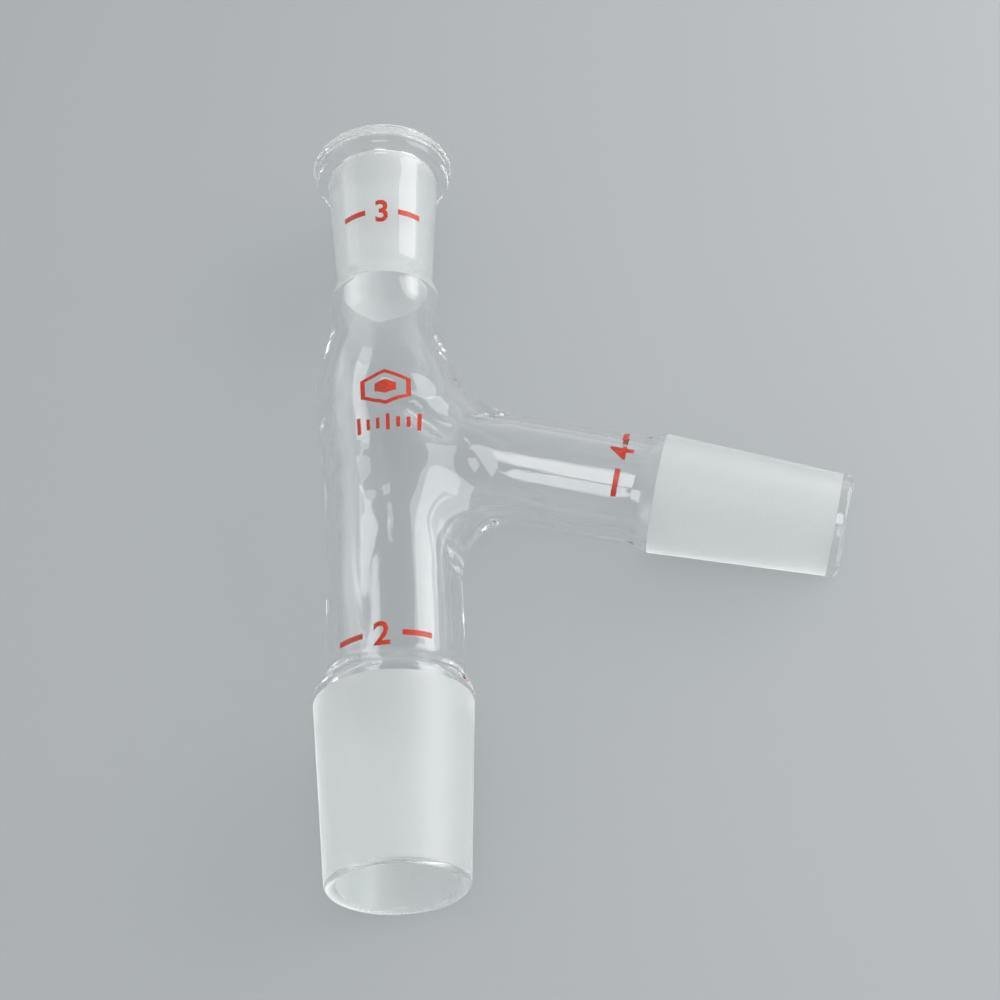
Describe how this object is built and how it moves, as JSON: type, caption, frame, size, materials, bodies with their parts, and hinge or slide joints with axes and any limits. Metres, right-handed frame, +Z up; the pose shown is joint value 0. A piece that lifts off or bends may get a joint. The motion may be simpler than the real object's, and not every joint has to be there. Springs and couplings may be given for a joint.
{
  "type": "distillation head",
  "caption": "Glass distillation head lying on its side: a tube with a ground cone and a ground socket at its ends, and a slanting side arm with a ground cone.",
  "frame": {"origin": "on the table, under the middle of the whole head as it lies", "axes": "+Y along the straight tube, from the lower cone towards the thermometer socket; +X towards the side arm; +Z up from the table"},
  "size_m": [0.084, 0.1316, 0.024],
  "materials": {
    "clear_glass": "polished",
    "ground_glass": "matte",
    "fired_print": "satin"
  },
  "bodies": {
    "root": {"glass_head": "clear_glass"}
  },
  "joints": []
}
